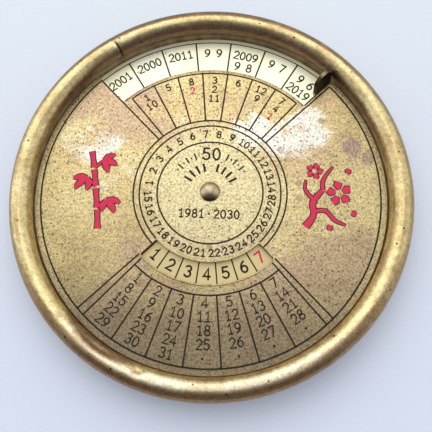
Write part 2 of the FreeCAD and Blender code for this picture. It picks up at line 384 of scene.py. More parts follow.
class Paint(Nodes):
    """Builds one material on its Object coordinates in metres. A noise's scale is in cells a metre."""

    def __init__(self, name, roughness, metallic):
        self.material = bpy.data.materials.new(name)
        self.material.use_nodes = True
        super().__init__(self.material.node_tree)
        self.shader = self.tree.nodes["Principled BSDF"].inputs
        self.shader["Roughness"].default_value = roughness
        self.shader["Metallic"].default_value = metallic
        coordinates = self.add("ShaderNodeTexCoord")
        self.place = coordinates["Object"]
        self.facing = coordinates["Normal"]

    def axis(self, name):
        return self.part(self.place, name)

    def scaled(self, scale, turn=0.0):
        """Coordinates stretched by three factors, after a turn about Z."""
        turned = (0.0, 0.0, math.radians(turn))
        sources = {"Vector": self.place, "Scale": scale, "Rotation": turned}
        return self.add("ShaderNodeMapping", sources)["Vector"]

    def noise(self, scale, detail=3.0, rough=0.5, place=None, warp=0.0):
        sources = {"Vector": place or self.place, "Scale": scale, "Detail": detail, "Roughness": rough,
                   "Distortion": warp}
        return self.add("ShaderNodeTexNoise", sources)["Fac"]

    def spots(self, scale, size, share, strength=1.0):
        """Round spots. size is in cells, and share is how many cells have one."""
        cells = self.add("ShaderNodeTexVoronoi", {"Vector": self.place, "Scale": scale})
        inside = self.ramp(cells["Distance"], ((size * SPOT_CORE, strength), (size, 0.0)))
        draw = self.add("ShaderNodeSeparateColor", {"Color": cells["Color"]})["Red"]
        return self.times(inside, self.math("LESS_THAN", draw, share))

    def mix(self, factor, first, second, blend="MIX"):
        sources = {"Factor": factor, "A": first, "B": second}
        for key, source in sources.items():
            if isinstance(source, tuple):
                sources[key] = (*source, 1.0)
        return self.add("ShaderNodeMix", sources, data_type="RGBA", blend_type=blend)["Result"]

    def grained(self, tone, share, height, dark, light):
        """A tone darkened by a share of what a noise gives between two stops."""
        return self.mix(share, tone, self.ramp(height, (dark, light)), "MULTIPLY")

    def radius(self):
        """Distance from the calendar's axis."""
        x = self.axis("X")
        y = self.axis("Y")
        return self.math("SQRT", self.plus(self.times(x, x), self.times(y, y)))

    def nearness(self, patches):
        """The strength of the nearest patch, down to 0 at its reach."""
        nearest = 0.0
        for patch in patches:
            ends = {0: self.place, 1: (patch.x * MM, patch.y * MM, FACE_TOP * MM)}
            gap = self.add("ShaderNodeVectorMath", ends, operation="DISTANCE")["Value"]
            here = self.math("MULTIPLY_ADD", gap, -patch.strength / (patch.reach * MM), patch.strength)
            nearest = self.math("MAXIMUM", here, nearest)
        return nearest

    def colour(self, source):
        self.link(source, self.shader["Base Color"])

    def rough(self, factor, low, high):
        self.link(self.ramp(factor, ((0.25, low), (0.75, high))), self.shader["Roughness"])

    def bump(self, height, depth):
        """Relief from a height of 0 to 1, with its depth in millimetres."""
        sources = {"Strength": 1.0, "Distance": depth * MM, "Height": height}
        self.link(self.add("ShaderNodeBump", sources)["Normal"], self.shader["Normal"])


def face_patches(paint, tone):
    """White bloom with a painted highlight of glare on it, pink tarnish and small stains, each in its places.
    """
    streaks = paint.noise(1.0, 6.0, 0.75, paint.scaled((120.0, 170.0, 120.0)), 0.5)
    bloom_and_glare = paint.math("MULTIPLY_ADD", paint.nearness(BLOOM_AND_GLARE), 0.3, streaks)
    # Painted highlight: the glare is mixed in as white with the bloom
    tone = paint.mix(paint.ramp(bloom_and_glare, ((0.63, 0.0), (0.76, 0.85))), tone, BLOOM_AND_GLARE_WHITE)
    blotch = paint.noise(48.0, 5.0, 0.68, paint.scaled((1.0, 1.35, 1.0), 35.0))
    tarnished = paint.math("MULTIPLY_ADD", paint.nearness(TARNISH), 0.16, blotch)
    tone = paint.mix(paint.ramp(tarnished, ((0.52, 0.0), (0.66, 0.62))), tone, TARNISH_PINK)
    uneven = paint.math("MULTIPLY_ADD", paint.noise(420.0, 4.0, 0.7), 1.6, -0.8)
    stained = paint.plus(paint.nearness(FACE_STAINS), uneven)
    return paint.mix(paint.ramp(stained, ((0.25, 0.0), (0.6, 0.6))), tone, STAIN_VIOLET)


def face_rubbing(paint, tone):
    """Rubbed brighter round the middle, painted light outside the outer circle where the rim shades the
    plate, and painted shade towards the foot of the page.
    """
    radius = paint.times(paint.radius(), 1.0 / (RAMP_SPAN * MM))
    edge = OUTER_CIRCLE / RAMP_SPAN
    # Rubbing round the middle; outside the outer circle it is painted light against the rim's shade
    rubbed = paint.ramp(radius, ((0.2, 0.75), (0.34, 0.0), (edge, 0.0), (edge + 0.01, 0.6)))
    tone = paint.mix(rubbed, tone, RUBBED_AND_LIT_GOLD)
    # Painted shade: browner towards the foot of the page
    foot = paint.times(paint.axis("Y"), -22.0)
    return paint.mix(paint.ramp(foot, ((0.34, 0.0), (0.62, 0.74))), tone, FOOT_SHADE_BROWN)


def face_specks(paint, tone):
    """Grain, slanting rub marks, and specks of three sizes."""
    tone = paint.grained(tone, 0.85, paint.noise(2500.0, 2.5, 0.75), (0.36, 0.4), (0.60, 1.06))
    rubs = paint.noise(1.0, 3.0, 0.6, paint.scaled((140.0, 3600.0, 140.0), -38.0))
    tone = paint.grained(tone, 0.3, rubs, (0.35, 0.6), (0.65, 1.0))
    thick = paint.ramp(paint.noise(60.0, 3.0), ((0.42, 0.5), (0.62, 1.0)))
    fine = paint.times(paint.spots(1400.0, 0.36, 0.36), thick)
    tone = paint.mix(fine, tone, SPECK_BROWN)
    tone = paint.mix(paint.spots(700.0, 0.2, 0.12, 0.8), tone, SPECK_BLACK)
    return paint.mix(paint.spots(210.0, 0.2, 0.2, 0.5), tone, STAIN_BROWN)


def tab_tone(paint):
    """The finger tab's dark tarnish with painted dark reflection, and a painted highlight where its tip faces
    up.
    """
    cloud = paint.noise(500.0, 4.0)
    # Dark tarnish, deepened as painted dark reflection
    dark = paint.ramp(cloud, ((0.35, (0.035, 0.022, 0.015)), (0.7, (0.085, 0.055, 0.035))))
    # Painted highlight where the tip faces up
    tip = paint.ramp(paint.part(paint.facing, "Z"), ((0.88, 0.0), (0.99, 0.5)))
    return paint.mix(tip, dark, TIP_HIGHLIGHT_BRASS)


def face_brass():
    """Aged satin brass: blotches, bloom with painted glare, fine grain and specks, painted light and shade,
    and a dark tab with a painted highlight on its tip.
    """
    paint = Paint("face_brass_aged_and_shaded", 0.4, 1.0)
    cloud = paint.noise(95.0, 5.0, 0.6, warp=0.4)
    tone = paint.ramp(cloud, ((0.36, (0.60, 0.46, 0.225)), (0.5, (0.71, 0.56, 0.275)),
                              (0.66, (0.79, 0.65, 0.335))))
    for layer in (face_patches, face_rubbing, face_specks):
        tone = layer(paint, tone)
    # Above this level the finger tab has its own tarnish and painted light
    high = paint.math("GREATER_THAN", paint.axis("Z"), (FACE_TOP + TAB_DARK_FROM) * MM)
    paint.colour(paint.mix(high, tone, tab_tone(paint)))
    paint.rough(cloud, 0.36, 0.48)
    paint.bump(paint.noise(3000.0, 3.0, 0.7), 0.012)
    return paint.material


def dial_brass():
    """Pale lacquered brass that the face has covered, more golden under the weekday window."""
    paint = Paint("dial_brass_pale", 0.4, 0.35)
    cloud = paint.noise(80.0, 4.0, 0.6)
    tone = paint.ramp(cloud, ((0.35, (0.95, 0.92, 0.62)), (0.65, (1.0, 0.98, 0.75))))
    radius = paint.times(paint.radius(), 1.0 / (RAMP_SPAN * MM))
    tone = paint.mix(paint.ramp(radius, ((0.4, 1.0), (0.5, 0.0))), tone, DIAL_GOLD)
    tone = paint.grained(tone, 0.15, paint.noise(2300.0, 3.0, 0.6), (0.3, 0.6), (0.7, 1.0))
    paint.colour(paint.mix(paint.spots(500.0, 0.2, 0.12, 0.6), tone, DIAL_SPECK))
    paint.bump(paint.noise(2600.0, 3.0, 0.6), 0.008)
    return paint.material


# Where a spot lies on the rim's rod: inward and upward run from -1 to 1 across it, depth is how far
# into the corner by the face, with a ragged edge, and near runs from the far side to the near side
RodPlace = namedtuple("RodPlace", "inward upward ragged depth near")


def rod_place(paint):
    inward = paint.minus(RIM_RADIUS * MM, paint.radius())
    inward = paint.times(inward, 1.0 / (ROD_RADIUS * MM))
    upward = paint.minus(paint.axis("Z"), ROD_LEVEL * MM)
    upward = paint.times(upward, 1.0 / (ROD_RADIUS * MM))
    ragged = paint.times(paint.minus(paint.noise(560.0, 5.0, 0.75), 0.5), 0.85)
    corner = paint.minus(inward, paint.times(upward, 0.35))
    near = paint.math("MULTIPLY_ADD", paint.axis("Y"), -12.0, 0.5)
    return RodPlace(inward, upward, ragged, paint.plus(corner, ragged), near)


def corner_crust(paint, tone, rod):
    """Brown crust deep in the corner by the face, with painted dark reflection that takes it further up at
    the far side.
    """
    # Painted dark reflection: the crust reaches higher at the far side
    far = paint.times(paint.axis("Y"), 24.0)
    depth = paint.plus(rod.depth, paint.ramp(far, ((0.1, 0.0), (0.8, 0.7))))
    crust = paint.ramp(paint.times(depth, 0.5), ((0.43, 0.0), (0.52, 0.5), (0.62, 0.9)))
    foot = paint.ramp(paint.plus(rod.upward, 0.5), ((0.0, 0.45), (0.5, 1.0)))
    return paint.mix(paint.times(crust, foot), tone, CRUST_AND_REFLECTION_BROWN)


def outer_veil(paint, tone, rod):
    """The outer side's tarnish with painted dark reflection, which reaches high up at the near side and least
    at the two flanks.
    """
    # How high the tarnish and painted dark reflection reach on each side
    reach = paint.ramp(rod.near, ((0.05, 0.6), (0.3, 0.26), (0.62, 0.22), (0.95, 1.06)))
    outside = paint.minus(paint.math("MULTIPLY_ADD", rod.ragged, 0.45, reach), rod.inward)
    outer = paint.ramp(outside, ((0.5, 0.0), (0.74, 1.0)))
    strength = paint.ramp(rod.near, ((0.05, 0.97), (0.3, 0.7), (0.6, 0.55), (0.95, 0.9)))
    tarnish_and_reflection = paint.ramp(rod.near, ((0.1, (0.21, 0.13, 0.07)), (0.4, (0.33, 0.175, 0.08))))
    return paint.mix(paint.times(strength, outer), tone, tarnish_and_reflection)


def rim_wear(paint, tone, rod):
    """Stains at the lower left, a painted highlight along the crest at the near side, a browner underside and
    a brown film.
    """
    stained = paint.plus(paint.nearness(RIM_STAINS), rod.ragged)
    tone = paint.mix(paint.ramp(stained, ((0.1, 0.0), (0.6, 0.75))), tone, RIM_STAIN)
    # Painted highlight along the crest at the near side
    crest = paint.ramp(paint.math("MULTIPLY_ADD", rod.inward, 0.35, rod.upward), ((0.85, 0.0), (1.0, 1.0)))
    worn = paint.times(crest, paint.ramp(rod.near, ((0.8, 0.0), (0.97, 0.65))))
    tone = paint.mix(worn, tone, CREST_HIGHLIGHT)
    under = paint.ramp(paint.times(rod.upward, -1.0), ((0.1, 0.0), (0.7, 0.7)))
    tone = paint.mix(under, tone, UNDER_BROWN)
    film = paint.noise(90.0, 4.0, 0.7, warp=0.5)
    return paint.mix(paint.ramp(film, ((0.5, 0.0), (0.63, 0.5))), tone, FILM_BROWN)


def seam_slit(paint, tone, rod):
    """Painted shade in the slit between the rod's ends, darkest in the corner by the face."""
    along = polar(1.0, SEAM)
    y = paint.axis("Y")
    aside = paint.times(paint.axis("X"), along.y)
    aside = paint.minus(aside, paint.times(y, along.x))
    aside = paint.math("ABSOLUTE", paint.math("MULTIPLY_ADD", rod.ragged, 0.3 * MM, aside))
    slit = paint.ramp(paint.times(aside, 1.0 / MM), ((0.17, 1.0), (0.38, 0.0)))
    slit = paint.times(slit, paint.math("GREATER_THAN", y, 0.0))
    deep = paint.ramp(paint.plus(rod.depth, 0.5), ((0.1, 0.05), (0.4, 0.95)))
    return paint.mix(paint.times(slit, deep), tone, SEAM_SHADE_BLACK)


def rim_brass():
    """Handled brass: a painted highlight on the near crest, brown crust in the corner by the face, tarnish
    and painted dark reflection outside and at the far side, painted shade in the seam, and dark specks.
    """
    paint = Paint("rim_brass_handled_and_shaded", 0.27, 1.0)
    rod = rod_place(paint)
    cloud = paint.noise(140.0, 5.0, 0.6, warp=0.3)
    tone = paint.ramp(cloud, ((0.36, (0.70, 0.55, 0.26)), (0.52, (0.83, 0.68, 0.34)),
                              (0.68, (0.90, 0.77, 0.43))))
    for layer in (corner_crust, outer_veil, rim_wear, seam_slit):
        tone = layer(paint, tone, rod)
    # Dark specks on the rim
    tone = paint.mix(paint.spots(640.0, 0.17, 0.2), tone, RIM_SPECK_BLACK)
    tone = paint.grained(tone, 0.7, paint.noise(850.0, 4.0, 0.7, warp=0.4), (0.38, 0.66), (0.58, 1.04))
    tone = paint.grained(tone, 0.6, paint.noise(2500.0, 3.0, 0.75), (0.36, 0.5), (0.60, 1.05))
    paint.colour(tone)
    paint.rough(cloud, 0.27, 0.40)
    paint.bump(paint.noise(1300.0, 4.0, 0.65), 0.01)
    return paint.material


def rivet_brass():
    """Worn brass, with painted shade low on the head's near side."""
    paint = Paint("rivet_brass_worn_and_shaded", 0.3, 1.0)
    cloud = paint.noise(400.0, 4.0, 0.6)
    tone = paint.ramp(cloud, ((0.36, (0.33, 0.25, 0.15)), (0.64, (0.60, 0.49, 0.29))))
    # Painted shade: darker towards the head's near side
    near = paint.times(paint.axis("Y"), -1.0 / (HEAD_REACH * MM))
    paint.colour(paint.mix(paint.ramp(near, ((0.3, 0.0), (0.85, 0.95))), tone, HEAD_SHADE))
    paint.bump(paint.noise(1800.0, 3.0, 0.6), 0.01)
    return paint.material


def plain_brass(name, light, dark, roughness, metallic=1.0):
    """Brass with a soft cloud from a lighter to a darker tone, for the small and hidden parts."""
    paint = Paint(name, roughness, metallic)
    paint.colour(paint.ramp(paint.noise(400.0, 4.0, 0.6), ((0.36, dark), (0.64, light))))
    paint.bump(paint.noise(1800.0, 3.0, 0.6), 0.01)
    return paint.material


def fill_paint(name, colour, worn, wear_from):
    """Paint in the engraved lines, rubbed thin in places."""
    paint = Paint(name, 0.6, 0.0)
    paint.shader["Specular IOR Level"].default_value = 0.2
    wear = paint.ramp(paint.noise(1500.0, 4.0, 0.7), ((wear_from, 0.0), (wear_from + 0.12, 1.0)))
    paint.colour(paint.mix(wear, colour, worn))
    paint.bump(paint.noise(4000.0, 2.0), 0.01)
    return paint.material


def felt():
    """Short dark green pile."""
    paint = Paint("felt_pile", 0.95, 0.0)
    paint.shader["Sheen Weight"].default_value = 0.4
    cloud = paint.noise(300.0, 5.0, 0.7)
    tone = paint.ramp(cloud, ((0.3, (0.018, 0.045, 0.028)), (0.7, (0.045, 0.095, 0.058))))
    fibres = paint.noise(6000.0, 3.0, 0.7)
    paint.colour(paint.grained(tone, 0.6, fibres, (0.3, 0.5), (0.7, 1.0)))
    paint.bump(fibres, 0.12)
    return paint.material


def spring_steel():
    """Blank steel, a little uneven."""
    paint = Paint("spring_steel_blank", 0.35, 1.0)
    cloud = paint.noise(900.0, 3.0)
    paint.colour(paint.ramp(cloud, ((0.3, (0.36, 0.36, 0.37)), (0.7, (0.5, 0.5, 0.52)))))
    return paint.material


FACE_BRASS = face_brass()
DIAL_BRASS = dial_brass()
RIM_BRASS = rim_brass()
PAN_BRASS = plain_brass("pan_brass_dull", (0.62, 0.47, 0.25), (0.38, 0.26, 0.14), 0.5, 0.45)
RIVET_BRASS = rivet_brass()
SMALL_BRASS = plain_brass("small_brass", (0.70, 0.55, 0.30), (0.55, 0.40, 0.20), 0.35)
SOLDER = plain_brass("solder_grey", (0.42, 0.40, 0.36), (0.25, 0.22, 0.18), 0.5)
BLACK_FILL = fill_paint("black_fill_worn", (0.022, 0.016, 0.012), (0.16, 0.11, 0.065), 0.62)
RED_FILL = fill_paint("red_fill_worn", (0.64, 0.03, 0.085), (0.46, 0.17, 0.12), 0.62)
# Painted shade of the ornaments' engraved edges
EDGE_SHADE = fill_paint("edge_shade_fill", (0.075, 0.028, 0.028), (0.22, 0.13, 0.08), 0.6)
FELT = felt()
SPRING_STEEL = spring_steel()


def coat_nodes():
    """The frame's own shapes that stay, each with its finish."""
    coats = {"face_plate": FACE_BRASS, "year_dial": DIAL_BRASS, "base_pan": PAN_BRASS,
             "centre_rivet": RIVET_BRASS, "dial_pins": SMALL_BRASS, "rivet_washer": SMALL_BRASS,
             "spring_washer": SPRING_STEEL}
    for name, material in coats.items():
        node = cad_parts[name]
        node.data.materials.clear()
        node.data.materials.append(material)


# Rim: the bent rod with its seam, a few dings and its solder

RIM_STEP = 0.75  # degrees between rings of points
SEAM_STEP = 0.06
SEAM_REACH = 0.6  # degrees each side that have the finer step
ROUND_POINTS = 40
SEAM_HALF_WIDTH = 0.11  # degrees
SEAM_DEPTH = 0.3
SEAM_SIDE = 150.0  # direction round the rod where the seam is most open
SEAM_SPREAD = 48.0
SEAM_LEAST = 0.1  # share of the seam's depth that it has all round
UNEVEN_DEPTH = 0.03  # of the whole rod
UNEVEN_TURN = 6.0  # radius of the path through the noise that one turn of the rim takes
UNEVEN_SPREAD = 60.0  # degrees round the rod for one unit of the noise

# A dent: its directions round the rim and round the rod, its reach in both, and its depth
Dent = namedtuple("Dent", "place side reach spread depth")
DENTS = (Dent(239.0, 146.0, 9.0, 34.0, 0.75), Dent(225.0, 120.0, 1.4, 26.0, 0.34),
         Dent(252.0, 125.0, 1.6, 28.0, 0.36), Dent(186.0, 8.0, 48.0, 52.0, 0.34),
         Dent(123.4, 150.0, 0.5, 22.0, 0.2), Dent(124.9, 104.0, 0.5, 14.0, 0.28),
         Dent(196.0, 60.0, 1.5, 24.0, 0.07), Dent(95.0, 130.0, 1.3, 20.0, 0.06),
         Dent(331.0, 40.0, 1.8, 26.0, 0.07))


def rim_angles():
    """Directions round the rim, closer together at the seam."""
    angles = []
    angle = SEAM - FULL_TURN / 2
    while angle < SEAM + FULL_TURN / 2 - SEAM_STEP / 2:
        angles.append(angle)
        angle += SEAM_STEP if abs(angle - SEAM) < SEAM_REACH else RIM_STEP
    return angles


def turned(direction, place):
    """How far a direction lies from a place, the shorter way round."""
    return (direction - place + FULL_TURN / 2) % FULL_TURN - FULL_TURN / 2


def rod_radius(angle, about):
    """The rod's radius at a direction round the rim and a direction round the rod."""
    open_share = SEAM_LEAST + (1.0 - SEAM_LEAST) * math.exp(-((about - SEAM_SIDE) / SEAM_SPREAD) ** 2)
    radius = ROD_RADIUS - SEAM_DEPTH * open_share * math.exp(-((angle - SEAM) / SEAM_HALF_WIDTH) ** 2)
    for dent in DENTS:
        off = turned(angle, dent.place) / dent.reach
        round_off = turned(about, dent.side) / dent.spread
        radius -= dent.depth * math.exp(-off ** 2 - round_off ** 2)
    spot = polar(UNEVEN_TURN, angle, about / UNEVEN_SPREAD)
    return radius - UNEVEN_DEPTH * (0.5 + 0.5 * noise.noise(spot))


def build_rim():
    angles = rim_angles()
    points = []
    for angle in angles:
        for step in range(ROUND_POINTS):
            about = FULL_TURN * step / ROUND_POINTS
            section = polar(rod_radius(angle, about), about)
            points.append(polar(RIM_RADIUS + section.x, angle, ROD_LEVEL + section.y))
    faces = ring_faces(len(angles), ROUND_POINTS)
    rim = mesh_piece("rim", points, faces, RIM_BRASS, "base", smooth=True)
    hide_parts("rim_ring")


SOLDER_RADIUS = 0.42
SOLDER_OFFSET = 0.1  # inward and up from the flange's edge
SOLDER_SWELL = 0.35  # share by which the bead swells and shrinks
SOLDER_TURN = 3.0  # radius of its path through the noise
SOLDER_RINGS = 240
SOLDER_SIDES = 8


def build_solder():
    """The uneven bead where the rod meets the flange's edge, underneath."""
    centre_radius = PAN_HIGH.x / MM - SOLDER_OFFSET
    level = PAN_HIGH.z / MM + SOLDER_OFFSET
    points = []
    for index in range(SOLDER_RINGS):
        angle = FULL_TURN * index / SOLDER_RINGS
        swell = 1.0 + SOLDER_SWELL * noise.noise(polar(SOLDER_TURN, angle))
        for side in range(SOLDER_SIDES):
            bead = polar(SOLDER_RADIUS * swell, FULL_TURN * side / SOLDER_SIDES)
            points.append(polar(centre_radius + bead.x, angle, level + bead.y))
    faces = ring_faces(SOLDER_RINGS, SOLDER_SIDES)
    mesh_piece("rim_solder", points, faces, SOLDER, "base", smooth=True)


# Felt: a thick disc with a soft bevelled edge and a hole round the rivet

FELT_HOLE = 4.3
FELT_RINGS = 120
FELT_FUZZ = 0.06
FELT_FUZZ_SCALE = 1.7
FELT_TOP_INSET = 0.05
# How far in from the edge, and the level there
FELT_OUTER_EDGE = ((0.0, 0.8), (0.03, 0.4), (0.15, 0.12), (0.45, 0.0))
FELT_INNER_EDGE = ((0.2, 0.0), (0.0, 0.15))
FELT_SHARES = (0.9, 0.75, 0.5, 0.25)  # points across the underside


def felt_outline():
    """The section's points, from the top at the edge round underneath to the top at the hole."""
    radius = (FELT_HIGH.x - FELT_LOW.x) / 2 / MM
    top = FELT_HIGH.z / MM
    outer = [(radius - inset, level) for inset, level in FELT_OUTER_EDGE]
    under = [(FELT_HOLE + (radius - FELT_HOLE) * share, 0.0) for share in FELT_SHARES]
    inner = [(FELT_HOLE + inset, level) for inset, level in FELT_INNER_EDGE]
    return [(radius - FELT_TOP_INSET, top)] + outer + under + inner + [(FELT_HOLE, top)]


def build_felt():
    outline = felt_outline()
    points = []
    for index in range(FELT_RINGS):
        angle = FULL_TURN * index / FELT_RINGS
        for distance, level in outline:
            fuzz = FELT_FUZZ * noise.noise(polar(distance, angle, level) * FELT_FUZZ_SCALE)
            points.append(polar(distance + (fuzz if level > 0 else 0.0), angle, level))
    faces = ring_faces(FELT_RINGS, len(outline))
    pad = mesh_piece("felt_underlay", points, faces, FELT, "base", smooth=True)
    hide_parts("felt_pad")


# Engraving on the face plate


def column_edges(middle, spread):
    return [middle - spread / 2 + spread * index / WEEK for index in range(WEEK + 1)]


def column_middles(middle, spread, clockwise=False):
    edges = column_edges(middle, spread)
    middles = [(first + second) / 2 for first, second in zip(edges, edges[1:])]
    return middles[::-1] if clockwise else middles


NUMBER_CIRCLE_SHORT = 0.6  # degrees that the weekday window's corners take from the circle
SIDE_LEAN = 0.3  # degrees that a field's side line lies inside its corner
DATES_START = 0.3  # from the weekday window to the outermost date lines


def build_face_lines():
    lines = Ribbons()
    first = LOW_RIGHT - FULL_TURN
    lines.circle(INNER_CIRCLE)
    lines.circle(NUMBER_CIRCLE, first + NUMBER_CIRCLE_SHORT, LOW_LEFT - NUMBER_CIRCLE_SHORT)
    lines.circle(FIELD_CIRCLE, first, LOW_LEFT)
    lines.circle(OUTER_CIRCLE, TOP_LEFT + SIDE_LEAN, FULL_TURN + TOP_RIGHT - SIDE_LEAN)
    for inner, angle in ((FIELD_CIRCLE, TOP_RIGHT - SIDE_LEAN), (FIELD_CIRCLE, TOP_LEFT + SIDE_LEAN),
                         (DAY_WINDOW_OUTER, LOW_LEFT - SIDE_LEAN), (DAY_WINDOW_OUTER, LOW_RIGHT + SIDE_LEAN)):
        lines.spoke(inner, OUTER_CIRCLE, angle)
    months = column_edges(TOP_OF_PAGE, MONTHS_SPREAD)
    lines.circle(MONTHS_OUTER, months[0], months[-1])
    for angle in months:
        lines.spoke(FIELD_CIRCLE, MONTHS_OUTER, angle)
    dates = column_edges(FOOT_OF_PAGE, DATES_SPREAD)
    lines.circle(DATES_INNER, dates[0], dates[-1])
    for angle in dates[1:-1]:
        lines.spoke(DATES_INNER, OUTER_CIRCLE, angle)
    for angle in (dates[0], dates[-1]):
        lines.spoke(DAY_WINDOW_OUTER + DATES_START, OUTER_CIRCLE, angle)
    lines.piece("face_lines", BLACK_FILL, "face", "black_fill")


DATE_FIRST_ROW = 23.55
DATE_ROW = 2.73
DATE_ROWS = 5
DAYS = 31


def build_dates():
    """Plain numbers in seven columns, with a dot under the short columns."""
    numbers = Ribbons()
    for column, angle in enumerate(column_middles(FOOT_OF_PAGE, DATES_SPREAD)):
        for row in range(DATE_ROWS):
            day = 1 + column + row * WEEK
            text = str(day) if day <= DAYS else "."
            radius = DATE_FIRST_ROW + row * DATE_ROW
            write_round(numbers, text, radius, angle, DATE_STYLE, False)
    numbers.piece("date_numbers", BLACK_FILL, "face", "black_fill")


# Month numbers by column, left to right, from the outside in; a minus marks one in red
MONTH_COLUMNS = ((1, 10), (5,), (8, -2), (3, 2, 11), (6,), (12, 9), (7, 4, -1))
MONTH_FIRST_ROW = 26.45
MONTH_ROW = 2.25


def build_months():
    black = Ribbons()
    red = Ribbons()
    for months, angle in zip(MONTH_COLUMNS, column_middles(TOP_OF_PAGE, MONTHS_SPREAD, clockwise=True)):
        for row, month in enumerate(months):
            radius = MONTH_FIRST_ROW - row * MONTH_ROW
            write_round(black if month > 0 else red, str(abs(month)), radius, angle, MONTH_STYLE)
    black.piece("month_numbers", BLACK_FILL, "face", "black_fill")
    red.piece("leap_month_numbers", RED_FILL, "face", "red_fill")


RING_NUMBER_RADIUS = 13.3
RING_HALF = 14  # numbers over the top, and as many along the foot


def build_ring_numbers():
    """A plain scale from 1 to 28, one number for each place of the dial."""
    ring = Ribbons()
    left = FULL_TURN / 2
    for index in range(RING_HALF):
        turn = left * (index + 0.5) / RING_HALF
        write_round(ring, str(index + 1), RING_NUMBER_RADIUS, left - turn, RING_STYLE)
        write_round(ring, str(index + 1 + RING_HALF), RING_NUMBER_RADIUS, left + turn, RING_STYLE, False)
    ring.piece("ring_numbers", BLACK_FILL, "face", "black_fill")


SPAN_RADIUS = 8.6  # where the number of years that the calendar covers stands
RANGE_ROW = -4.9  # the line that its first and last year stand on
RANGE_ASIDE = 3.75
FIRST_YEAR = 1981
LAST_YEAR = 2030


# Bars in the place of words: the radii that they run between, and the degrees from one to the next
WORD_BARS = (7.8, 9.4)
SHORT_BARS = (8.4, 8.8)
WORD_START = 24.0
WORD_STEP = 13.0
TITLE_BARS = (4.6, 6.5)
TITLE_STEP = 15.0
TITLE_LINE = 0.5


def build_bars(marks):
    """Plain bars at both sides of the number over the rivet, and in a row below it."""
    for side in (1.0, -1.0):
        for index in range(3):
            angle = TOP_OF_PAGE + side * (WORD_START + WORD_STEP * index)
            marks.spoke(*WORD_BARS, angle)
            marks.spoke(*SHORT_BARS, angle + side * WORD_STEP / 2)
        for index in range(1, 5):
            marks.spoke(*TITLE_BARS, TOP_OF_PAGE + side * TITLE_STEP * index, TITLE_LINE)


def build_centre():
    """Plain numbers over and under the rivet, with bars between them."""
    marks = Ribbons()
    write_round(marks, "50", SPAN_RADIUS, TOP_OF_PAGE, SPAN_STYLE)
    build_bars(marks)
    for text, aside, style in ((str(FIRST_YEAR), -RANGE_ASIDE, RANGE_STYLE),
                               (str(LAST_YEAR), RANGE_ASIDE, RANGE_STYLE), (".", 0.0, RANGE_DOT_STYLE)):
        write(marks, text, Vector((aside, RANGE_ROW)), Vector((0.0, 1.0)), style)
    marks.piece("centre_numbers", BLACK_FILL, "face", "black_fill")


# Red brush ornaments: a bamboo spray at the left and a blossom twig at the right


BRUSH_STEPS = 5  # between two places of a stroke
LEAF_WIDTH = 1.35
LEAF_TIP = 0.08
PETALS = 5


